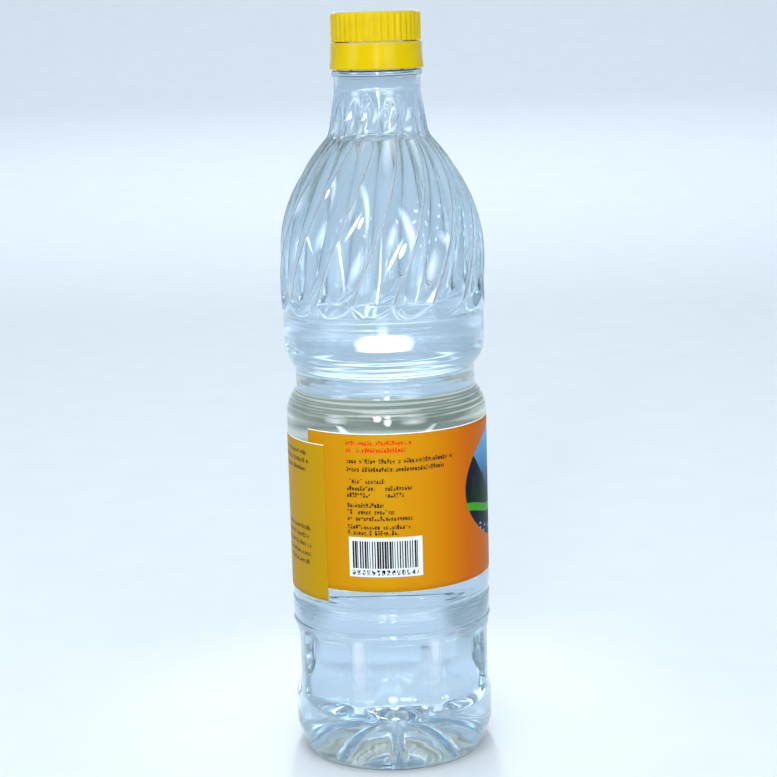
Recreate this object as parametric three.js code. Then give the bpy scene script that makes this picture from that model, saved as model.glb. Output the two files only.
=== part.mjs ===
// A clear one-litre bottle of pine water: a moulded bottle with twisted flutes over a wrapped label,
// filled to the foot of its neck and shut by a yellow screw cap on a collar.
// Millimetres, +Z up, origin at the middle of the foot. Angles are degrees from the front, which
// faces -Y, and grow towards +X.
import * as THREE from "three";

// Wall, play between neighbouring pieces, and the number of columns round the body.
const WALL = 0.7;
const GAP = 0.3;
const COLUMNS = 48;
const FIRST_COLUMN = -20;
const BEND_STEPS = 3;
const GLOBE_STEPS = 8;

// Radii of the outer wall, from the foot up.
const FOOT_RADIUS = 34.5;
const FOOT_WIDTH = 2;
const LOWER_RADIUS = 38.9;
const GROOVE_DEPTH = 0.5;
const SEAT_RADIUS = 38.9;
const WAIST_RADIUS = 34.7;
const BAND_RADIUS = 38.7;
const GLOBE_RADIUS = 39.7;
const NECK_FOOT_RADIUS = 20.5;
const NECK_BEND_RADIUS = 18.7;
const NECK_RADIUS = 16.5;
const FLANGE_RADIUS = 17.2;
const FLANGE_EDGE = 0.4;
const MOUTH_RADIUS = 15.2;
const MOUTH_WALL = 2;

// Heights where the outer wall changes form, from the foot up.
const PUSH_UP = 11;
const FOOT_TOP = 11.4;
const GROOVES = [
  [53.9, 56],
  [62.5, 66.4],
];
const SEAT_LOW = 70;
const SEAT_HIGH = 136.5;
const WAIST_LOW = 146;
const WAIST_HIGH = 154;
const BAND_LOW = 162;
const BAND_HIGH = 171;
const GLOBE_MIDDLE = 192;
const NECK_FOOT = 241;
const NECK_BEND = 245;
const NECK_STRAIGHT = 258.5;
const NECK_TOP = 264.5;
const FLANGE_TOP = 266.9;
const MOUTH_TOP = 286.4;

// How far the wall's bends pull towards their corners: the base's dome, the heel, the two shoulders of
// the waist, the globe and the foot of the neck, as steps of radius and height.
const DOME_PULL = 0.6;
const HEEL_PULL = { radius: -0.9, height: -4.6 };
const LOWER_SHOULDER_PULL = { radius: -1.4, height: 4 };
const UPPER_SHOULDER_PULL = { radius: -1.2, height: 3 };
const GLOBE_LEAVE = 24;
const GLOBE_ARRIVE = { radius: 9.5, height: -10.2 };
const NECK_PULL = { radius: 0.6, height: 1.2 };
const GLOBE_SWELL = [0.4, 0.7];

// Hollows pressed into the wall: eight flat panels low down, and sixteen flutes that climb the globe. The
// squarer a hollow, the steeper its sides.
const PANELS = {
  count: 8,
  low: 22,
  high: 53.3,
  depth: 2.2,
  footLedge: 4.4,
  headLedge: 3.5,
  share: 6 / 7,
  square: 4,
};
const FLUTES = {
  count: 16,
  low: 177,
  high: 257,
  depth: 2.4,
  footLedge: 5,
  headLedge: 9,
  share: 1,
  square: 2,
};
const TWIST = 48;

// Ribs that stiffen the pushed-up base.
const BASE_RIBS = 8;
const BASE_RIB_HEIGHT = 2.2;
const BASE_RIB_SHARE = 0.3;

// Label: a printed strip wound once round its seat, its end stuck over its start and slipped down a little.
const LABEL_LOW = 72.9;
const LABEL_HEIGHT = 61.2;
const LABEL_THICKNESS = 0.25;
const LABEL_START = -50;
const LABEL_OVERLAP = 12;
const LABEL_SLIP = 5.3;
const SLIP_FROM = 100;
const SLIP_TO = 300;
const FLAP_RISE = 12;
const LABEL_STEPS = 62;

// Cap and collar.
const COLLAR_FOOT = 267.3;
const COLLAR_TOP = 277.2;
const COLLAR_FOOT_RADIUS = 17.8;
const COLLAR_TOP_RADIUS = 17.3;
const COLLAR_EDGE = 0.4;
const CAP_FOOT = 277.5;
const CAP_TOP = 288.5;
const CAP_RADIUS = 17;
const CAP_EDGE = 1;
const CAP_EDGE_BEND = 0.3;
const KNURL_TOP = 286.9;
const CAP_PLATE = 1.5;
const CAP_BORE = MOUTH_RADIUS + GAP;
const KNURLS = 40;
const KNURL_DEPTH = 0.5;

const clamp = THREE.MathUtils.clamp;
const degrees = THREE.MathUtils.radToDeg;
const radians = THREE.MathUtils.degToRad;

// Wall line of the body from the middle of the base up to the top of the neck, as points of radius and
// height, set in from the outer wall. The shallow grooves under the label show on the outside only.
function wallLine(inset) {
  const line = new THREE.Path();
  const to = (radius, height) => line.lineTo(radius - inset, height);
  const bend = (viaRadius, viaHeight, radius, height) =>
    line.quadraticCurveTo(viaRadius - inset, viaHeight, radius - inset, height);
  const footInner = FOOT_RADIUS - FOOT_WIDTH;
  line.moveTo(0, PUSH_UP + inset);
  line.quadraticCurveTo(footInner * DOME_PULL, PUSH_UP + inset, footInner, inset);
  line.lineTo(FOOT_RADIUS - inset / 2, inset);
  bend(LOWER_RADIUS + HEEL_PULL.radius, FOOT_TOP + HEEL_PULL.height, LOWER_RADIUS, FOOT_TOP + inset);
  to(LOWER_RADIUS, PANELS.low);
  to(LOWER_RADIUS, PANELS.low + PANELS.footLedge);
  to(LOWER_RADIUS, PANELS.high - PANELS.headLedge);
  to(LOWER_RADIUS, PANELS.high);
  if (inset === 0) {
    cutGrooves(line);
  }
  to(SEAT_RADIUS, SEAT_LOW);
  to(SEAT_RADIUS, SEAT_HIGH);
  const { radius: lowerIn, height: lowerUp } = LOWER_SHOULDER_PULL;
  bend(SEAT_RADIUS + lowerIn, SEAT_HIGH + lowerUp, WAIST_RADIUS, WAIST_LOW);
  to(WAIST_RADIUS, WAIST_HIGH);
  const { radius: upperIn, height: upperUp } = UPPER_SHOULDER_PULL;
  bend(BAND_RADIUS + upperIn, WAIST_HIGH + upperUp, BAND_RADIUS, BAND_LOW);
  to(BAND_RADIUS, BAND_HIGH);
  to(BAND_RADIUS + GLOBE_SWELL[0], FLUTES.low);
  to(BAND_RADIUS + GLOBE_SWELL[1], FLUTES.low + FLUTES.footLedge);
  to(GLOBE_RADIUS, GLOBE_MIDDLE);
  line.bezierCurveTo(
    GLOBE_RADIUS - inset,
    GLOBE_MIDDLE + GLOBE_LEAVE,
    NECK_FOOT_RADIUS + GLOBE_ARRIVE.radius - inset,
    NECK_FOOT + GLOBE_ARRIVE.height,
    NECK_FOOT_RADIUS - inset,
    NECK_FOOT,
  );
  bend(NECK_BEND_RADIUS + NECK_PULL.radius, NECK_FOOT + NECK_PULL.height, NECK_BEND_RADIUS, NECK_BEND);
  to(NECK_RADIUS, NECK_STRAIGHT);
  return [line.getPoint(0), ...line.curves.flatMap(curvePoints)];
}

// Points along one curve of a wall line, without its first, which the curve before it has.
function curvePoints(curve) {
  const steps = curve.isCubicBezierCurve ? GLOBE_STEPS : BEND_STEPS;
  return curve.getPoints(curve.isLineCurve ? 1 : steps).slice(1);
}

// Two grooves with a ring between them, under the label.
function cutGrooves(line) {
  for (const [low, high] of GROOVES) {
    line.lineTo(LOWER_RADIUS, low);
    line.lineTo(LOWER_RADIUS - GROOVE_DEPTH, low + GROOVE_DEPTH);
    line.lineTo(LOWER_RADIUS - GROOVE_DEPTH, high - GROOVE_DEPTH);
    line.lineTo(LOWER_RADIUS, high);
  }
}

// Flange and plain mouth above the neck, out and up to the lip, then down the bore.
function mouthLine() {
  const bore = MOUTH_RADIUS - MOUTH_WALL;
  return [
    [NECK_RADIUS, NECK_TOP],
    [FLANGE_RADIUS, NECK_TOP + FLANGE_EDGE],
    [FLANGE_RADIUS, FLANGE_TOP - FLANGE_EDGE],
    [MOUTH_RADIUS, FLANGE_TOP],
    [MOUTH_RADIUS, MOUTH_TOP],
    [bore, MOUTH_TOP],
    [bore, FLANGE_TOP],
    [NECK_RADIUS - WALL, NECK_TOP - MOUTH_WALL],
  ].map(([radius, height]) => new THREE.Vector2(radius, height));
}

// Place across one of `count` hollows, from 0 at its middle to 1 at its edge.
function across(angle, { count, share }) {
  const turn = ((angle - FIRST_COLUMN) * count) / 360;
  const middle = Math.abs(turn - Math.floor(turn) - 0.5) * 2;
  return Math.min(1, middle / share);
}

// Depth of a hollow: a cut across the round wall, which runs out in a slope at its foot and its head.
function hollowDepth(hollow, angle, height) {
  const side = across(angle, hollow);
  const foot = (height - hollow.low) / hollow.footLedge;
  const head = (hollow.high - height) / hollow.headLedge;
  return hollow.depth * Math.max(0, Math.min(1, foot, head) - side ** hollow.square);
}

// The flutes lean over evenly as they climb.
function twistAt(height) {
  return TWIST * clamp((height - FLUTES.low) / (FLUTES.high - FLUTES.low), 0, 1);
}

// Radial ribs of the base, highest half way out.
function baseRib(angle, radius) {
  const side = across(angle, { count: BASE_RIBS, share: BASE_RIB_SHARE });
  const out = clamp(radius / (FOOT_RADIUS - FOOT_WIDTH), 0, 1);
  return BASE_RIB_HEIGHT * (1 - side) * 4 * out * (1 - out);
}

// Presses panels, flutes, twist and base ribs into a round body. The base is the part that lies inside
// the standing ring.
function mould(geometry) {
  const position = geometry.getAttribute("position");
  const point = new THREE.Vector3();
  for (let i = 0; i < position.count; i += 1) {
    point.fromBufferAttribute(position, i);
    const radius = Math.hypot(point.x, point.y);
    const angle = degrees(Math.atan2(point.x, -point.y));
    const flutes = hollowDepth(FLUTES, angle, point.z) * Math.sqrt(radius / GLOBE_RADIUS);
    const onBase = point.z < FOOT_TOP + WALL + GAP && radius < FOOT_RADIUS - FOOT_WIDTH;
    const moulded = radius - hollowDepth(PANELS, angle, point.z) - flutes;
    const turned = radians(angle + twistAt(point.z));
    const lift = onBase ? baseRib(angle, radius) : 0;
    position.setXYZ(i, moulded * Math.sin(turned), -moulded * Math.cos(turned), point.z + lift);
  }
  return geometry;
}

// A closed profile of [radius, height] points spun about +Z, its first column at the given angle.
function spin(profile, columns, firstAngle) {
  const geometry = new THREE.LatheGeometry(profile, columns, radians(firstAngle));
  return geometry.rotateX(Math.PI / 2);
}

// Splits the cells of a spun body along their other diagonal, from the given row of its profile on. A wall
// that runs down the inside then has the same facets as the one that runs up the outside.
function turnDiagonals(geometry, rows, firstRow) {
  const index = geometry.getIndex();
  const cellCorners = 6;
  for (let cell = 0; cell < index.count / cellCorners; cell += 1) {
    const row = cell % (rows - 1);
    if (row >= firstRow) {
      const near = Math.floor(cell / (rows - 1)) * rows + row;
      const far = near + rows;
      index.array.set([near, far, far + 1, near, far + 1, near + 1], cell * cellCorners);
    }
  }
  return geometry;
}

function makeBottle() {
  const outside = [...wallLine(0), ...mouthLine()];
  const profile = [...outside, ...wallLine(WALL).reverse()];
  const body = spin(profile, COLUMNS, FIRST_COLUMN);
  return mould(turnDiagonals(body, profile.length, outside.length));
}

// The drink stands level with the foot of the neck.
function makeWater() {
  const filled = wallLine(WALL + GAP).filter((point) => point.y <= NECK_FOOT);
  const middle = new THREE.Vector2(0, NECK_FOOT);
  return mould(spin([...filled, middle], COLUMNS, FIRST_COLUMN));
}

// The strip starts as a flat box: x runs along it, y through it and z up it. It is then wound on.
function makeLabel() {
  const turn = 360 + LABEL_OVERLAP;
  const strip = new THREE.BoxGeometry(turn, LABEL_THICKNESS, LABEL_HEIGHT, LABEL_STEPS, 1, 1);
  const position = strip.getAttribute("position");
  const point = new THREE.Vector3();
  const flapLift = LABEL_THICKNESS + GAP;
  for (let i = 0; i < position.count; i += 1) {
    point.fromBufferAttribute(position, i);
    const angle = LABEL_START + turn / 2 + point.x;
    const rise = clamp((angle - LABEL_START - 360 + FLAP_RISE) / FLAP_RISE, 0, 1);
    const slip = THREE.MathUtils.smoothstep(angle, SLIP_FROM, SLIP_TO);
    const radius = SEAT_RADIUS + GAP + LABEL_THICKNESS / 2 - point.y + flapLift * rise;
    const height = LABEL_LOW + LABEL_HEIGHT / 2 + point.z - LABEL_SLIP * slip;
    position.setXYZ(i, radius * Math.sin(radians(angle)), -radius * Math.cos(radians(angle)), height);
  }
  return strip;
}

function makeCollar() {
  const ring = [
    [CAP_BORE, COLLAR_FOOT],
    [COLLAR_FOOT_RADIUS - COLLAR_EDGE, COLLAR_FOOT],
    [COLLAR_FOOT_RADIUS, COLLAR_FOOT + COLLAR_EDGE],
    [COLLAR_TOP_RADIUS, COLLAR_TOP - COLLAR_EDGE],
    [COLLAR_TOP_RADIUS - COLLAR_EDGE, COLLAR_TOP],
    [CAP_BORE, COLLAR_TOP],
    [CAP_BORE, COLLAR_FOOT],
  ].map(([radius, height]) => new THREE.Vector2(radius, height));
  return spin(ring, COLUMNS, 0);
}

// The cap is a cup over the mouth. Every other column of its side is drawn in between the knurls.
function makeCap() {
  const ceiling = CAP_TOP - CAP_PLATE;
  const cup = [
    [0, ceiling],
    [CAP_BORE, ceiling],
    [CAP_BORE, CAP_FOOT],
    [CAP_RADIUS, CAP_FOOT],
    [CAP_RADIUS, KNURL_TOP],
    [CAP_RADIUS - CAP_EDGE_BEND, CAP_TOP - CAP_EDGE_BEND],
    [CAP_RADIUS - CAP_EDGE, CAP_TOP],
    [0, CAP_TOP],
  ].map(([radius, height]) => new THREE.Vector2(radius, height));
  const geometry = spin(cup, KNURLS * 2, 0);
  const position = geometry.getAttribute("position");
  for (let i = 0; i < position.count; i += 1) {
    const radius = Math.hypot(position.getX(i), position.getY(i));
    const column = Math.floor(i / cup.length);
    const onKnurls = radius > CAP_RADIUS - CAP_EDGE_BEND / 2;
    const scale = onKnurls && column % 2 === 1 ? 1 - KNURL_DEPTH / CAP_RADIUS : 1;
    position.setXYZ(i, position.getX(i) * scale, position.getY(i) * scale, position.getZ(i));
  }
  return geometry;
}

const clearPlastic = new THREE.MeshStandardMaterial({
  color: 0xc6d9ec,
  roughness: 0.06,
  metalness: 0,
  transparent: true,
  opacity: 0.35,
});
const drink = new THREE.MeshStandardMaterial({
  color: 0xc0d6ea,
  roughness: 0.02,
  metalness: 0,
  transparent: true,
  opacity: 0.4,
});
const print = new THREE.MeshStandardMaterial({ color: 0xdea010, roughness: 0.35, metalness: 0 });
const yellowPlastic = new THREE.MeshStandardMaterial({ color: 0xf0d206, roughness: 0.3, metalness: 0 });

function addPiece(group, name, geometry, material) {
  const mesh = new THREE.Mesh(geometry, material);
  mesh.name = name;
  group.add(mesh);
}

const bottleOfWater = new THREE.Group();
addPiece(bottleOfWater, "bottle", makeBottle(), clearPlastic);
addPiece(bottleOfWater, "water", makeWater(), drink);
addPiece(bottleOfWater, "label", makeLabel(), print);
addPiece(bottleOfWater, "cap_collar", makeCollar(), yellowPlastic);
addPiece(bottleOfWater, "cap", makeCap(), yellowPlastic);

export default bottleOfWater;
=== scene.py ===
"""A clear bottle of pine water with a yellow cap, dressed for its picture. Metres, +Z up, front to -Y."""

import math

import bmesh
import bpy
from mathutils import Euler, Matrix, Vector
from mathutils.geometry import interpolate_bezier


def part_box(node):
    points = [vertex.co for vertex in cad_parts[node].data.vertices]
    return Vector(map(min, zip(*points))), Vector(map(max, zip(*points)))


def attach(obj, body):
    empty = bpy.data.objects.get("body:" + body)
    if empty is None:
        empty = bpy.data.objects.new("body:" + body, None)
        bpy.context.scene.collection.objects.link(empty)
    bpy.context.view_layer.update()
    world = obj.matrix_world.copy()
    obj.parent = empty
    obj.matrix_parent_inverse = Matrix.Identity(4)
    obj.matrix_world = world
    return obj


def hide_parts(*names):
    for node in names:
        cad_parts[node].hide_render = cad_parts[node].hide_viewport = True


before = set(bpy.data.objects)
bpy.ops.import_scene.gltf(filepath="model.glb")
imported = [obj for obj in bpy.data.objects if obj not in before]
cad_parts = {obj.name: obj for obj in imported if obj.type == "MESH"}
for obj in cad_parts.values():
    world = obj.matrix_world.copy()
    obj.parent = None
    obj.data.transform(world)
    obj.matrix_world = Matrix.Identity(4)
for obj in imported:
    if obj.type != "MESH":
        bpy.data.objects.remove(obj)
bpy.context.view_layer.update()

# Bottle: one blow-moulded shell of clear plastic. It stands on a ring round a ribbed, pushed-up base, and has
# eight flat panels, two shallow grooves, a seat for the label, a waist, and sixteen flutes that lean over
# as they climb the globe to the neck. The cap hides its plain mouth.
mm = 0.001
wall = 0.55 * mm
columns = 224
ridge_angle = math.radians(-20)
mouth_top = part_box("bottle")[1].z
fill_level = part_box("water")[1].z
foot_radius = 34.5 * mm
foot_inner = 32.5 * mm
push_up = 11 * mm
dome_pull = 0.6
heel_top = 11.4 * mm
heel_in, heel_drop = 0.9 * mm, 4.6 * mm
lower_radius = 38.9 * mm
groove_depth = 0.5 * mm
groove_edge = 0.8 * mm
groove_lip, groove_lip_in = 0.3 * mm, 0.05 * mm
grooves = [(53.9 * mm, 56 * mm), (62.5 * mm, 66.4 * mm)]
seat_low, seat_high = 70 * mm, 136.5 * mm
lower_shoulder, upper_shoulder, shoulder_in = 5 * mm, 4 * mm, 0.6 * mm
waist_radius = 34.7 * mm
waist_low, waist_high = 146 * mm, 154 * mm
waist_edge, waist_ease = 0.7 * mm, 0.8 * mm
band_radius = 38.7 * mm
band_low, band_high = 162 * mm, 171 * mm
swell_via, swell_low, swell_high = 0.1 * mm, 0.4 * mm, 0.7 * mm
globe_radius = 39.7 * mm
globe_middle = 192 * mm
globe_ease = 5 * mm
globe_leave = Vector((0, 0, 24)) * mm
globe_arrive = Vector((9.5, 0, -10.2)) * mm
globe_points = 40
neck_foot_radius = 20.5 * mm
neck_bend_radius, neck_bend = 18.7 * mm, 4 * mm
neck_pull_in, neck_pull_up = 0.6 * mm, 1.2 * mm
neck_radius = 16.5 * mm
neck_straight, neck_top = 258.5 * mm, 264.5 * mm
flange_radius = 17.2 * mm
flange_top = 266.9 * mm
flange_edge = 0.7 * mm
mouth_radius = 15.2 * mm
panels = dict(count=8, share=0.86, low=22 * mm, high=53.3 * mm, depth=2.2 * mm, foot=4.4 * mm, head=3.5 * mm,
              round_off=4, blend=0.08)
flutes = dict(count=16, share=1, low=177 * mm, high=257 * mm, depth=2.4 * mm, foot=5 * mm, head=9 * mm,
              round_off=2, blend=0.03)
crowding = 0.75
twist = math.radians(48)
base_ribs = 8
base_rib_height = 2.2 * mm
base_rib_share = 0.13
base_rib_reach = 2 * mm


def run_to(line, radius, height, step=1):
    """Adds a straight run to an outline of (radius, 0, height) points, in steps no longer than given."""
    start, end = line[-1], Vector((radius, 0, height))
    count = max(1, math.ceil((end - start).length / step))
    line.extend(start.lerp(end, i / count) for i in range(1, count + 1))


def bend_to(line, via, end, steps):
    """Adds a bend to an outline. It leaves towards the via (radius, height) and arrives from it."""
    start = line[-1]
    via, end = (Vector((radius, 0, height)) for radius, height in (via, end))
    pull = 2 / 3
    line.extend(interpolate_bezier(start, start.lerp(via, pull), end.lerp(via, pull), end, steps + 1)[1:])


def body_line(inset):
    """Outline of the body from the middle of its base to the foot of its neck, set in from the outer wall."""
    # The dome of the base, the standing ring and the heel.
    line = [Vector((0, 0, push_up + inset))]
    bend_to(line, (foot_inner * dome_pull, push_up + inset), (foot_inner, inset), steps=22)
    run_to(line, foot_radius - inset / 2, inset, step=0.7 * mm)
    lower = lower_radius - inset
    bend_to(line, (lower - heel_in, heel_top - heel_drop), (lower, heel_top + inset), steps=12)

    # The side, in close steps where the panels are pressed in, then the grooves and the label's seat.
    run_to(line, lower, panels["low"] - 1 * mm, step=4 * mm)
    run_to(line, lower, panels["high"] + 0.3 * mm, step=0.85 * mm)
    for low, high in grooves:
        deep = lower - groove_depth
        run_to(line, lower, low)
        bend_to(line, (lower - groove_lip_in, low + groove_lip), (deep, low + groove_edge), steps=3)
        run_to(line, deep, high - groove_edge)
        bend_to(line, (lower - groove_lip_in, high - groove_lip), (lower, high), steps=3)
    run_to(line, lower, seat_low)
    run_to(line, lower, seat_high, step=24 * mm)

    # The waist between its two shoulders, and the band above it.
    waist, band = waist_radius - inset, band_radius - inset
    bend_to(line, (lower - shoulder_in, seat_high + lower_shoulder),
            (waist + shoulder_in, waist_low - waist_edge), steps=9)
    bend_to(line, (waist, waist_low), (waist, waist_low + waist_ease), steps=3)
    run_to(line, waist, waist_high - waist_ease, step=4 * mm)
    bend_to(line, (waist, waist_high), (waist + shoulder_in, waist_high + waist_edge), steps=3)
    bend_to(line, (band - shoulder_in, waist_high + upper_shoulder), (band, band_low), steps=9)
    run_to(line, band, band_high, step=4 * mm)

    # The globe, from where it swells out of the band to the foot of the neck.
    swell = globe_radius - inset
    bend_to(line, (band + swell_via, flutes["low"]), (band + swell_low, flutes["low"] - 1 * mm), steps=3)
    run_to(line, band + swell_high, flutes["low"] + flutes["foot"], step=0.8 * mm)
    bend_to(line, (swell, globe_middle - globe_ease), (swell, globe_middle), steps=9)
    widest, neck = line[-1], Vector((neck_foot_radius - inset, 0, fill_level))
    line.extend(interpolate_bezier(widest, widest + globe_leave, neck + globe_arrive, neck, globe_points)[1:])
    return line


def share_of(value, start, end):
    """How far the value has come from start to end, from 0 to 1."""
    return min(1, max(0, (value - start) / (end - start)))


def eased(share):
    """A share from 0 to 1 that starts and ends gently."""
    return share * share * (3 - 2 * share)


def hollow(turn, height, count, share, low, high, depth, foot, head, round_off, blend):
    """Depth of the hollows round the wall. Each slopes out at either end and blends into the wall."""
    side = min(1, abs(turn * count / math.tau % 1 - 0.5) * 2 / share)
    slope = min(1, (height - low) / foot, (high - height) / head)
    cut = slope - side ** round_off
    return depth * (cut + math.hypot(cut, blend) - blend) / 2 if cut > -4 * blend else 0


def mould(bm):
    """Presses the panels, flutes and base ribs into a spun body, and leans the flutes over as they climb.

    The columns crowd towards the ridges, to keep these crisp.
    """
    for vert in bm.verts:
        radius, height = vert.co.xy.length, vert.co.z
        turn = math.atan2(vert.co.y, vert.co.x)
        turn -= crowding * math.sin(turn * flutes["count"]) / flutes["count"]
        angle = ridge_angle + turn + twist * share_of(height, flutes["low"], flutes["high"])
        pressed = radius - hollow(turn, height, **panels)
        pressed -= hollow(turn, height, **flutes) * math.sqrt(radius / globe_radius)
        if radius < foot_inner and height < push_up + base_rib_reach:
            out = radius / foot_inner
            rib = max(0, 1 - abs(turn * base_ribs / math.tau % 1 - 0.5) / base_rib_share)
            height += base_rib_height * eased(rib) * 4 * out * (1 - out)
        vert.co = (pressed * math.sin(angle), -pressed * math.cos(angle), height)


def spun(line, steps):
    """A bmesh of the outline spun once about the upright axis, closed at its seam and poles."""
    bm = bmesh.new()
    points = [bm.verts.new(point) for point in line]
    edges = [bm.edges.new(pair) for pair in zip(points, points[1:])]
    bmesh.ops.spin(bm, geom=points + edges, axis=(0, 0, 1), cent=(0, 0, 0), angle=math.tau, steps=steps,
                   use_merge=True)
    bmesh.ops.remove_doubles(bm, verts=bm.verts, dist=0.001 * mm)
    bmesh.ops.recalc_face_normals(bm, faces=bm.faces)
    return bm


def piece(name, bm, material):
    """A smooth object from a bmesh, at the origin, riding on the one body."""
    for face in bm.faces:
        face.smooth = True
    mesh = bpy.data.meshes.new(name)
    bm.to_mesh(mesh)
    bm.free()
    mesh.materials.append(material)
    made = bpy.data.objects.new(name, mesh)
    bpy.context.scene.collection.objects.link(made)
    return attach(made, "root")


def thicken(made, depth, back):
    """Gives a sheet its thickness inwards, with another material on its inner faces."""
    made.data.materials.append(back)
    solid = made.modifiers.new("thickness", "SOLIDIFY")
    solid.thickness = depth
    solid.offset = -1
    solid.material_offset = 1


class Wire:
    """A shader socket. Arithmetic on wires and numbers adds Math nodes."""

    def __init__(self, tree, socket=None):
        self.tree, self.socket = tree, socket

    def node(self, kind, settings, sockets, output=0):
        """Adds a node, sets its settings first and then its sockets, and gives a wire from one output."""
        made = self.tree.nodes.new(kind)
        for name, value in settings.items():
            if name == "stops":
                ramp = made.color_ramp
                while len(ramp.elements) < len(value):
                    ramp.elements.new(1)
                for element, (position, colour) in zip(ramp.elements, value):
                    element.position, element.color = position, colour
            else:
                setattr(made, name, value)
        for key, value in sockets.items():
            if isinstance(value, Wire):
                self.tree.links.new(value.socket, made.inputs[key])
            else:
                made.inputs[key].default_value = value
        return Wire(self.tree, made.outputs[output])

    def maths(self, operation, *values):
        """Adds a Math node on the values."""
        return self.node("ShaderNodeMath", {"operation": operation}, dict(enumerate(values)))

    def __add__(self, other):
        return self.maths("ADD", self, other)

    def __sub__(self, other):
        return self.maths("SUBTRACT", self, other)

    def __rsub__(self, other):
        return self.maths("SUBTRACT", other, self)

    def __mul__(self, other):
        return self.maths("MULTIPLY", self, other)

    def __truediv__(self, other):
        return self.maths("DIVIDE", self, other)

    def __gt__(self, other):
        return self.maths("GREATER_THAN", self, other)

    def __lt__(self, other):
        return self.maths("LESS_THAN", self, other)

    __radd__ = __add__
    __rmul__ = __mul__


def finish(name, **constants):
    """A material with constant shader sockets, and a wire of the piece's own Object coordinates."""
    made = bpy.data.materials.new(name)
    made.use_nodes = True
    shader = made.node_tree.nodes["Principled BSDF"]
    for socket, value in constants.items():
        shader.inputs[socket.replace("_", " ")].default_value = value
    return made, shader, Wire(made.node_tree).node("ShaderNodeTexCoord", {}, {}, "Object")


def join(wire, shader, socket):
    """Links a wire to a socket of a shader."""
    wire.tree.links.new(wire.socket, shader.inputs[socket])


def parts(vector):
    """The x, y and z of a vector wire."""
    split = vector.node("ShaderNodeSeparateXYZ", {}, {"Vector": vector})
    return [Wire(split.tree, output) for output in split.socket.node.outputs]


def noise(place, scale, detail):
    """Soft noise over a place."""
    return place.node("ShaderNodeTexNoise", {}, {"Vector": place, "Scale": scale, "Detail": detail})


def graded(value, start, end, first, last):
    """Runs evenly from the first number to the last while the value goes from start to end."""
    return value.node("ShaderNodeMapRange", {}, {"Value": value, 1: start, 2: end, 3: first, 4: last})


def zigzag(value, top):
    """Climbs from 0 to the top and back, over and over."""
    return value.maths("PINGPONG", value, top)


def between(value, low, high):
    """1 where the value lies between the limits."""
    return (value > low) * (value < high)


def raised(height, shader, strength, distance):
    """Raises a shader's surface by a height."""
    bump = height.node("ShaderNodeBump", {}, {"Strength": strength, "Distance": distance, "Height": height})
    join(bump, shader, "Normal")


bottle_line = body_line(0)
bend_to(bottle_line, (neck_bend_radius + neck_pull_in, fill_level + neck_pull_up),
        (neck_bend_radius, fill_level + neck_bend), steps=5)
run_to(bottle_line, neck_radius, neck_straight, step=1.2 * mm)
run_to(bottle_line, neck_radius, neck_top)
bend_to(bottle_line, (flange_radius, neck_top), (flange_radius, neck_top + flange_edge), steps=3)
run_to(bottle_line, flange_radius, flange_top - flange_edge)
bend_to(bottle_line, (flange_radius, flange_top), (flange_radius - flange_edge, flange_top), steps=3)
run_to(bottle_line, mouth_radius, flange_top)
run_to(bottle_line, mouth_radius, mouth_top)

clear_plastic, shader, place = finish("clear_plastic", Base_Color=(0.57, 0.7, 0.81, 1), IOR=1.57,
                                      Transmission_Weight=1)
scuffing = 0.03
join(noise(place, scale=900, detail=3) * scuffing, shader, "Roughness")

# Handling dulls the posts between the panels and the ridges between the flutes, and the same whitish mix is
# also a painted highlight for the light that these catch. Places across are shares of the pitch of panels or
# flutes, counted from the middle of a post or ridge.
post_core, post_edge, post_wear_and_highlight = 0.03, 0.12, 0.42
post_foot, post_full, post_head, post_top = 24 * mm, 46 * mm, 51 * mm, 55 * mm
ridge_core, ridge_edge, ridge_wear_and_highlight = 0.01, 0.16, 0.18
ridge_start, ridge_end = 0.05, 0.9
side_x, side_y, height = parts(place)
turn = (side_x.maths("ARCTAN2", side_x, side_y * -1) - ridge_angle) * (panels["count"] / math.tau)
post = graded(zigzag(turn, 0.5), post_core, post_edge, 1, 0)
post = post * graded(height, post_foot, post_full, 0, 1) * graded(height, post_head, post_top, 1, 0)
climb = graded(height, flutes["low"], flutes["high"], 0, 1)
lean = turn * (flutes["count"] / panels["count"]) - climb * (twist * flutes["count"] / math.tau)
ridge = graded(zigzag(lean, 0.5), ridge_core, ridge_edge, 1, 0) * between(climb, ridge_start, ridge_end)
# Painted highlight, partly wear: a whitish diffuse shader is mixed into the clear plastic on the posts and
# ridges.
dulled_and_highlit = place.node("ShaderNodeBsdfDiffuse", {}, {"Color": (0.8, 0.9, 1, 1)})
clear = Wire(place.tree, shader.outputs["BSDF"])
wear_and_highlight = post * post_wear_and_highlight + ridge * ridge * ridge_wear_and_highlight
worn_and_highlit = place.node("ShaderNodeMixShader", {}, {0: wear_and_highlight, 1: clear, 2: dulled_and_highlit})
join(worn_and_highlit, clear_plastic.node_tree.nodes["Material Output"], "Surface")

# Fine rings run round the grooves, the waist and the foot of the globe, over a faint ripple of the wall.
ring_zones = [(53.5 * mm, 69 * mm), (139 * mm, 161 * mm), (171 * mm, 176.5 * mm)]
ring_pitch = 2 * mm
ripple = noise(place, scale=60, detail=1)
ringed = 0
for low, high in ring_zones:
    ringed = between(height, low, high) + ringed
rings = height.maths("SINE", height * (math.tau / ring_pitch)) * ringed * ripple
raised(ripple + rings, shader, strength=1, distance=0.05 * mm)

# The blue tint lies in the outer skin alone, so that light which is thrown about inside doesn't turn dark.
clear_inside = clear_plastic.copy()
clear_inside.name = "clear_plastic_inside"
clear_inside.node_tree.nodes["Principled BSDF"].inputs["Base Color"].default_value = (0.98, 0.99, 0.995, 1)

bottle_shell = spun(bottle_line, columns)
mould(bottle_shell)
bottle = piece("bottle_shell", bottle_shell, clear_plastic)
thicken(bottle, wall, clear_inside)
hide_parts("bottle")

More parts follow.
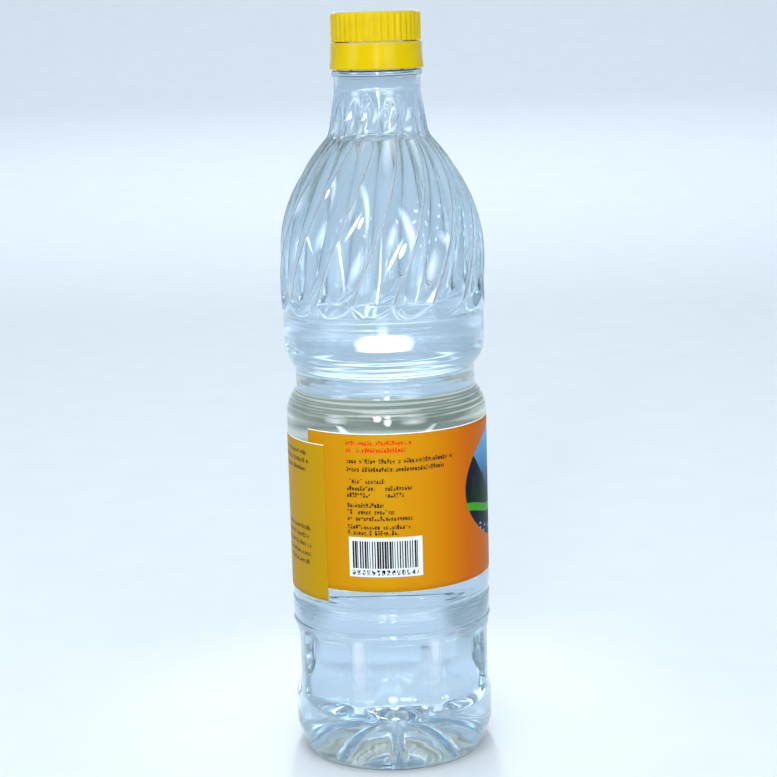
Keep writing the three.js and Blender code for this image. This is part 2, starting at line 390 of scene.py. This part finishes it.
# Drink: clear pine water, filled to the foot of the neck. It wets the wall, so its outside lies just inside
# the plastic, and its surface creeps up a little where it meets the wall.
wetting = 0.25 * mm
creep, creep_in = 0.5 * mm, 0.4 * mm
creep_foot, creep_reach = 2.2 * mm, 5.5 * mm
water_line = body_line(wetting)
rim = neck_foot_radius - wetting
run_to(water_line, rim - creep_in, fill_level + creep)
bend_to(water_line, (rim - creep_foot, fill_level), (rim - creep_reach, fill_level), steps=8)
run_to(water_line, 0, fill_level, step=3 * mm)


def shades(value, *stops):
    """Runs through colours with the value, each stop being (value, colour)."""
    return value.node("ShaderNodeValToRGB", {"stops": stops}, {"Fac": value})


pine_water, shader, place = finish("pine_water", Roughness=0, IOR=1.333, Transmission_Weight=1)
haze = shades(noise(place, scale=14, detail=2), (0.3, (0.95, 0.98, 0.985, 1)), (0.7, (0.975, 0.99, 0.995, 1)))
join(haze, shader, "Base Color")

drink = spun(water_line, columns)
mould(drink)
water = piece("pine_water", drink, pine_water)
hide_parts("water")

# Label: a strip of printed film, wound once round its seat from the left and glued over its own start. Its
# end has slipped down, so the two edges don't meet. The print is plain fields of colour, rows of marks, a bar
# panel and an oval view of hills.
label_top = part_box("label")[1].z
label_slip = 5.3 * mm
label_height = label_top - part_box("label")[0].z - label_slip
label_start, label_turn = math.radians(-50), math.radians(372)
label_columns, label_rows = 372, 24
slip_from, slip_to = math.radians(100), math.radians(300)
flap_from, flap_to = math.radians(302), math.radians(310)
film = 0.12 * mm
glued = 0.03 * mm

strip = bmesh.new()
strip.loops.layers.uv.new("print")
bmesh.ops.create_grid(strip, x_segments=label_columns, y_segments=label_rows, size=0.5, calc_uvs=True)
for vert in strip.verts:
    angle = label_start + (vert.co.x + 0.5) * label_turn
    slid = eased(share_of(angle, slip_from, slip_to))
    lift = share_of(angle, flap_from, flap_to)
    radius = lower_radius - glued + film + lift * (film + glued)
    height = label_top + (vert.co.y - 0.5) * label_height - label_slip * slid
    vert.co = (radius * math.sin(angle), -radius * math.cos(angle), height)


def ink(red, green, blue):
    """A print colour from 0 to 255, as the shader's linear colour."""
    return tuple((part / 255) ** 2.2 for part in (red, green, blue)) + (1,)


def printed(ground, colour, mask):
    """The ground with a colour printed over it where the mask is 1."""
    return mask.node("ShaderNodeMix", {"data_type": "RGBA"}, {"Factor": mask, "A": ground, "B": colour}, 2)


# From here the print is laid out in millimetres along the strip and up it.
printed_film, shader, place = finish("printed_film", Roughness=0.38, Specular_IOR_Level=0.06)
across, upright, _ = parts(place.node("ShaderNodeUVMap", {"uv_map": "print"}, {}))
along = across * (label_turn * lower_radius / mm)
up = upright * (label_height / mm)
ground = shades(
    across,
    (0.0, ink(178, 120, 6)),
    (0.13, ink(183, 132, 8)),
    (0.2, ink(185, 120, 6)),
    (0.27, ink(182, 92, 6)),
    (0.5, ink(180, 88, 9)),
    (0.68, ink(172, 133, 9)),
    (1.0, ink(170, 132, 9)),
)


def chance(*places):
    """White noise that is even over each whole step of the places."""
    steps = {i: value.maths("FLOOR", value) for i, value in enumerate(places)}
    cell = along.node("ShaderNodeCombineXYZ", {}, steps)
    return cell.node("ShaderNodeTexWhiteNoise", {"noise_dimensions": "2D"}, {"Vector": cell})


def fraction(value):
    """How far the value is past its last whole step."""
    return value.maths("FRACT", value)


# Rows of broken marks, each as (height, left, right).
red_rows = [(57.4, 17.8, 43.1), (54.6, 17.8, 41)]
dark_rows = [(50.4, 17.8, 60.2), (47.3, 17.8, 56.1), (42.7, 17.8, 32.8), (40, 17.8, 28.7), (40, 32.8, 43.8),
             (37.4, 17.8, 27), (37.4, 32.8, 39.7), (33.5, 17.8, 32), (30.9, 17.8, 36), (28.4, 17.8, 43.1),
             (25.1, 17.8, 42), (22.8, 17.8, 37.6), (56.5, 214, 243), (53.3, 217, 244), (50.1, 222, 242),
             (27, 215, 244), (23.6, 217, 243), (20.2, 213, 244), (16.8, 220, 244), (13.4, 226, 243)]
letter_pitch, line_pitch = 1.05, 1.5
letter_left, letter_right = 0.1, 0.88
half_letter = 0.65
stem_low, stem_high, stem_from = 0.6, 1.15, 0.7
stroke_width, stroke_height = 0.3, 0.42
stroke_gaps, word_gaps = 0.25, 0.13
letter = chance(along / letter_pitch, up / line_pitch)
strokes = chance(along / stroke_width, up / stroke_height) > stroke_gaps
strokes = strokes * between(fraction(along / letter_pitch), letter_left, letter_right) * (letter > word_gaps)


def rows_of_marks(rows):
    """A mask of the rows, whose letters are chance strokes, some with a stem."""
    total = 0
    for row, left, right in rows:
        body = between(up, row - half_letter, row + half_letter)
        stem = between(up, row + stem_low, row + stem_high) * (letter > stem_from)
        total = (body + stem) * between(along, left, right) + total
    return total * strokes


ground = printed(ground, ink(206, 30, 16), rows_of_marks(red_rows))
ground = printed(ground, ink(52, 36, 16), rows_of_marks(dark_rows))


def block(left, right, low, high):
    """A mask of one rectangle of the strip."""
    return between(along, left, right) * between(up, low, high)


# The bar panel: bars of chance width on a pale field, over one row of digit-like marks.
bars_left, bars_right = 19.5, 45
bar_pitch, bar_thinnest, bar_spread = 0.95, 0.28, 0.55
digit_pitch, digit_left, digit_right = 1.9, 0.15, 0.82
dot_width, dot_height, dot_gaps = 0.36, 0.5, 0.42
ground = printed(ground, ink(206, 213, 215), block(left=18.1, right=46.4, low=5.9, high=21.3))
bar = (along - bars_left) / bar_pitch
bars = fraction(bar) < chance(bar) * bar_spread + bar_thinnest
bars = bars * block(bars_left, bars_right, low=9.2, high=19.8)
digits = chance(along / dot_width, up / dot_height) > dot_gaps
digits = digits * between(fraction(along / digit_pitch), digit_left, digit_right)
digits = digits * block(left=18.6, right=bars_right, low=6.6, high=8.6)
ground = printed(ground, ink(24, 24, 28), bars + digits)


def skyline(rate, rise, foot):
    """Height of a row of points across the oval view."""
    return zigzag(along * rate, 1) * rise + foot


# The oval view: peaks behind firs, a rolling meadow, and a lake with glints.
oval_along, oval_up = 106, 35
oval_half_width, oval_half_height = 39, 24.5
meadow_rate, meadow_roll, meadow_top = 0.12, 0.09, 0.28
shore, glints_top = 0.13, 0.3
glint_width, glint_height, glint_gaps = 1.6, 0.9, 0.86
oval_x = (along - oval_along) / oval_half_width
oval_y = (up - oval_up) / oval_half_height
view = shades(oval_y * 0.5 + 0.5, (0.5, ink(34, 70, 112)), (0.95, ink(96, 164, 214)))
view = printed(view, ink(14, 26, 40), oval_y < skyline(rate=0.07, rise=0.7, foot=-0.1))
view = printed(view, ink(12, 44, 18), oval_y < skyline(rate=0.26, rise=0.45, foot=-0.2))
meadow = along.maths("SINE", along * meadow_rate) * meadow_roll - meadow_top
view = printed(view, ink(58, 142, 36), oval_y < meadow)
view = printed(view, ink(10, 22, 38), oval_y < meadow - shore)
glints = chance(along / glint_width, up / glint_height) > glint_gaps
view = printed(view, ink(112, 160, 196), (oval_y < meadow - glints_top) * glints)
ground = printed(ground, view, oval_x * oval_x + oval_y * oval_y < 1)

# Painted highlight: a thin pale line along the top of the print stands in for the light caught on the film's
# cut edge.
edge_highlight_width = 0.35
ground = printed(ground, ink(244, 236, 214), up > label_height / mm - edge_highlight_width)
join(ground, shader, "Base Color")
raised(noise(place, scale=45, detail=2), shader, strength=0.15, distance=0.3 * mm)

# The streaked, pale back carries a painted glow: it emits faintly, in streaks, standing in for the light that
# comes through the thin film.
film_back, shader, place = finish("film_back", Roughness=0.5, Emission_Strength=0.55)
streaked = place.node("ShaderNodeMapping", {}, {"Vector": place, "Scale": (12, 12, 260)})
glue_streaks_and_glow = shades(noise(streaked, scale=1, detail=2), (0.35, ink(150, 158, 146)), (0.65, ink(255, 255, 240)))
join(glue_streaks_and_glow, shader, "Base Color")
# Painted glow: the same streaked colour is emitted.
join(glue_streaks_and_glow, shader, "Emission Color")

label = piece("label_strip", strip, printed_film)
thicken(label, film, film_back)
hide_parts("label")

# Collar: a smooth ring of yellow plastic that snaps on under the cap. It is a little wider at its foot, and
# its edges are rounded.
collar_low, collar_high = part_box("cap_collar")
collar_radius = collar_high.x
collar_top_radius = 17.3 * mm
collar_bore = 15.5 * mm
collar_edge = 0.45 * mm
collar_flare = 4 * mm
collar_columns = 128
collar_line = [Vector((collar_bore, 0, collar_low.z))]
run_to(collar_line, collar_radius - collar_edge, collar_low.z)
bend_to(collar_line, (collar_radius, collar_low.z), (collar_radius, collar_low.z + collar_edge), steps=4)
bend_to(collar_line, (collar_top_radius, collar_low.z + collar_flare),
        (collar_top_radius, collar_high.z - collar_edge), steps=10)
bend_to(collar_line, (collar_top_radius, collar_high.z),
        (collar_top_radius - collar_edge, collar_high.z), steps=4)
run_to(collar_line, collar_bore, collar_high.z)
run_to(collar_line, collar_bore, collar_low.z)

yellow_plastic, shader, place = finish("yellow_plastic", Specular_IOR_Level=0.12)
least_dull, dull_spread = 0.1, 0.16
clouds = noise(place, scale=110, detail=3)
join(shades(clouds, (0.3, ink(188, 162, 0)), (0.7, ink(197, 170, 0))), shader, "Base Color")
join(clouds * dull_spread + least_dull, shader, "Roughness")
raised(noise(place, scale=1800, detail=2), shader, strength=0.1, distance=0.1 * mm)

collar = piece("cap_collar_ring", spun(collar_line, collar_columns), yellow_plastic)
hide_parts("cap_collar")

# Cap: a knurled screw cap of the same yellow plastic, a cup over the mouth with soft upright grips round its
# side, a rounded rim and a shallow dish in its top.
cap_low, cap_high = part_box("cap")
cap_radius = cap_high.x
cap_bore = 15.5 * mm
cap_foot = 0.3 * mm
cap_rim = 1.6 * mm
cap_plate = 1.5 * mm
dish_from, dish_via, dish_to = 2.4 * mm, 2.8 * mm, 3.4 * mm
dish_depth, dish_middle = 0.25 * mm, 0.1 * mm
grips, columns_a_grip = 40, 8
grip_depth = 0.5 * mm
grip_share = 0.8
cap_line = [Vector((0, 0, cap_high.z - cap_plate))]
run_to(cap_line, cap_bore, cap_high.z - cap_plate)
run_to(cap_line, cap_bore, cap_low.z)
run_to(cap_line, cap_radius - cap_foot, cap_low.z)
bend_to(cap_line, (cap_radius, cap_low.z), (cap_radius, cap_low.z + cap_foot), steps=3)
run_to(cap_line, cap_radius, cap_high.z - cap_rim, step=0.8 * mm)
bend_to(cap_line, (cap_radius, cap_high.z), (cap_radius - cap_rim, cap_high.z), steps=8)
run_to(cap_line, cap_radius - dish_from, cap_high.z)
bend_to(cap_line, (cap_radius - dish_via, cap_high.z - dish_depth),
        (cap_radius - dish_to, cap_high.z - dish_depth), steps=3)
run_to(cap_line, 0, cap_high.z - dish_middle)

cup = spun(cap_line, grips * columns_a_grip)
for vert in cup.verts:
    radius = vert.co.xy.length
    if radius > cap_radius - cap_rim * grip_share:
        wave = 0.5 + 0.5 * math.cos(math.atan2(vert.co.y, vert.co.x) * grips)
        fade = min(1, (cap_high.z - vert.co.z) / cap_rim)
        vert.co.xy *= 1 - grip_depth * wave * wave * fade / radius
cap = piece("screw_cap", cup, yellow_plastic)
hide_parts("cap")

# Stage: a plain pale floor that sweeps up far behind, and a soft low sun. Soft boxes and strips stand round
# the bottle and one lies flat before it, for the mirror lights in the plastic. Pools of light on the floor
# and a sky that darkens towards the horizon are what the drink bends into view.
floor_front, floor_back, sweep, floor_side = -8, 1.5, 4, 8
sweep_round, sweep_points = 0.55, 24
floor_line = bmesh.new()
points = [Vector((-floor_side, floor_front, 0)), Vector((-floor_side, floor_back, 0))]
corner, top = Vector((-floor_side, floor_back + sweep, 0)), Vector((-floor_side, floor_back + sweep, sweep))
pulls = [end.lerp(corner, sweep_round) for end in (points[1], top)]
points += interpolate_bezier(points[1], *pulls, top, sweep_points)[1:]
points.append(top + Vector((0, 0, sweep)))
verts = [floor_line.verts.new(point) for point in points]
edges = [floor_line.edges.new(pair) for pair in zip(verts, verts[1:])]
drawn = bmesh.ops.extrude_edge_only(floor_line, edges=edges)["geom"]
bmesh.ops.translate(floor_line, vec=(2 * floor_side, 0, 0),
                    verts=[part for part in drawn if isinstance(part, bmesh.types.BMVert)])
bmesh.ops.recalc_face_normals(floor_line, faces=floor_line.faces)
pale_floor, shader, place = finish("pale_floor", Roughness=0.6)
speckle = shades(noise(place, scale=30, detail=2), (0.3, (0.72, 0.79, 0.85, 1)), (0.7, (0.74, 0.81, 0.87, 1)))
join(speckle, shader, "Base Color")
floor = piece("floor", floor_line, pale_floor)

# The gain makes up for the light that a box loses by fading.
glow_gain = 3.8


def lamp(name, kind, power, location, target, **settings):
    """A lamp that faces the target and isn't seen itself. Boxes fade towards their edges."""
    data = bpy.data.lights.new(name, kind)
    data.energy = power
    if kind == "AREA":
        data.shape = "RECTANGLE"
        data.use_nodes = True
        spot = Wire(data.node_tree).node("ShaderNodeNewGeometry", {}, {}, "Parametric")
        centred = {"Vector": spot, "Location": (-1, -1, 0), "Scale": (2, 2, 0)}
        spot = spot.node("ShaderNodeMapping", {}, centred)
        glow = spot.node("ShaderNodeTexGradient", {"gradient_type": "SPHERICAL"}, {"Vector": spot}, "Fac")
        join(glow * glow_gain, data.node_tree.nodes["Emission"], "Strength")
    for setting, value in settings.items():
        setattr(data, setting, value)
    made = bpy.data.objects.new(name, data)
    made.location = location
    made.rotation_euler = (Vector(target) - Vector(location)).to_track_quat("-Z", "Y").to_euler()
    made.visible_camera = False
    bpy.context.scene.collection.objects.link(made)


lamp("low_sun", "SUN", 0.4, (-0.2, -1, 0.35), (0, 0, 0), angle=math.radians(9))
lamp("front_box", "AREA", 2.4, (0.02, -1.3, 0.4), (0, 0, 0.2), size=0.24, size_y=0.7)
lamp("front_strip", "AREA", 5, (0, -1.1, 0.85), (0, 0, 0.2), size=3.2, size_y=0.25)
lamp("left_box", "AREA", 2, (-1.1, -0.62, 0.35), (0, 0, 0.2), size=0.8, size_y=0.5)
lamp("right_box", "AREA", 2, (0.62, -1.05, 0.35), (0, 0, 0.2), size=0.8, size_y=0.5)
lamp("overhead_box", "AREA", 4, (-0.1, -0.1, 1.35), (0, 0, 0), size=1, size_y=1)
lamp("back_box", "AREA", 5, (0, 2.4, 0.8), (0, 0, 0.3), size=3, size_y=0.5)
lamp("backdrop_box", "AREA", 8, (0, 1.3, 1.3), (0, 5, 0.9), size=3, size_y=0.5)
lamp("pool", "SPOT", 22, (0, 0.5, 1.2), (0, 0.045, 0), spot_size=math.radians(12), spot_blend=1,
     shadow_soft_size=0.05)
for side in (-1, 1):
    lamp("side_pool", "SPOT", 60, (0.9 * side, 1.2, 1.5), (0.7 * side, 0.75, 0), spot_size=math.radians(26),
         spot_blend=1, shadow_soft_size=0.05)
lamp("low_strip", "AREA", 11, (-0.2, -0.93, 0.01), (-0.2, -0.83, 1), size=4.5, size_y=0.2)

room = bpy.data.worlds.new("room")
room.use_nodes = True
_, _, rise = parts(Wire(room.node_tree).node("ShaderNodeTexCoord", {}, {}, "Generated"))
sky = shades(rise, (0.15, (0.34, 0.39, 0.43, 1)), (0.8, (0.84, 0.89, 0.93, 1)))
join(sky, room.node_tree.nodes["Background"], "Color")
bpy.context.scene.world = room
bpy.context.scene.view_settings.view_transform = "Standard"
bpy.context.scene.cycles.max_bounces = 64
bpy.context.scene.cycles.transmission_bounces = 64
bpy.context.scene.cycles.glossy_bounces = 32

# Camera: fitted to the photograph's outline. It stands a little above the bottle, looks down at it, and is
# rolled so that the bottle leans to the left.
pitch, roll = math.radians(10.84), math.radians(-1.6)
camera_place = Vector((1.1, -761.6, 289.6)) * mm
camera_data = bpy.data.cameras.new("camera")
camera_data.sensor_width = 36
camera_data.lens = 92.1
camera = bpy.data.objects.new("camera", camera_data)
tilted = Euler((math.pi / 2 - pitch, 0, 0)).to_matrix().to_4x4()
camera.matrix_world = Matrix.Translation(camera_place) @ tilted @ Matrix.Rotation(roll, 4, "Z")
bpy.context.scene.collection.objects.link(camera)
bpy.context.scene.camera = camera
